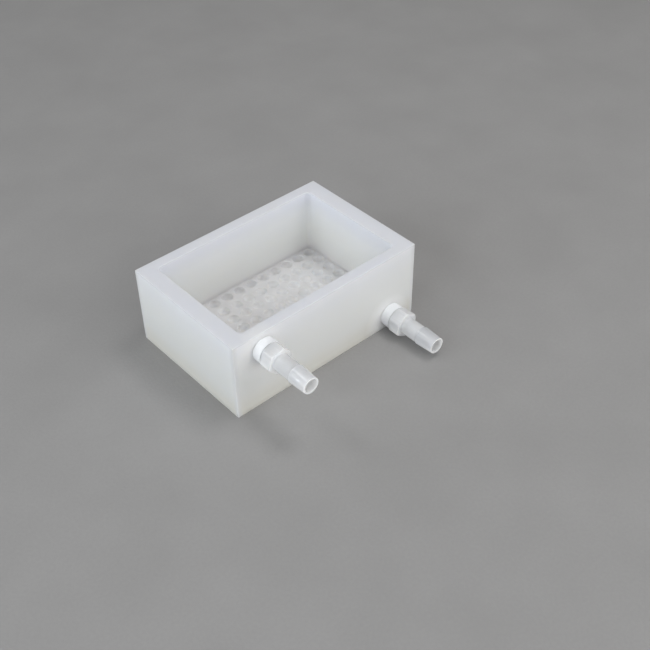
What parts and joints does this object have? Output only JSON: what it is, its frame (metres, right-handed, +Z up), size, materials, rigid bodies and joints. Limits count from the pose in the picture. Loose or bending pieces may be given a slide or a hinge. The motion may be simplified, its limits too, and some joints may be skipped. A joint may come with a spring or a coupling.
{
  "type": "reagent reservoir",
  "caption": "Open rectangular reagent trough milled from a milky plastic block, with a dimpled floor and two barbed hose fittings sealed with white tape in one long side.",
  "frame": {"origin": "centre of the block's base, on the surface that it stands on", "axes": "+X along the block's length with the outlet on the -X side, the hose fittings point to -Y, +Z up"},
  "size_m": [0.1278, 0.1222, 0.0486],
  "materials": {
    "natural_block": "natural, undyed polypropylene, milky and slightly translucent, milled satin",
    "clear_moulding": "natural moulded plastic, semi-clear, smooth",
    "white_tape": "thin white thread-seal tape in overlapping wraps"
  },
  "bodies": {
    "root": {"reservoir_block": "natural_block", "outlet_fitting": "clear_moulding", "outlet_thread_tape": "white_tape", "inlet_fitting": "clear_moulding", "inlet_thread_tape": "white_tape"}
  },
  "joints": []
}
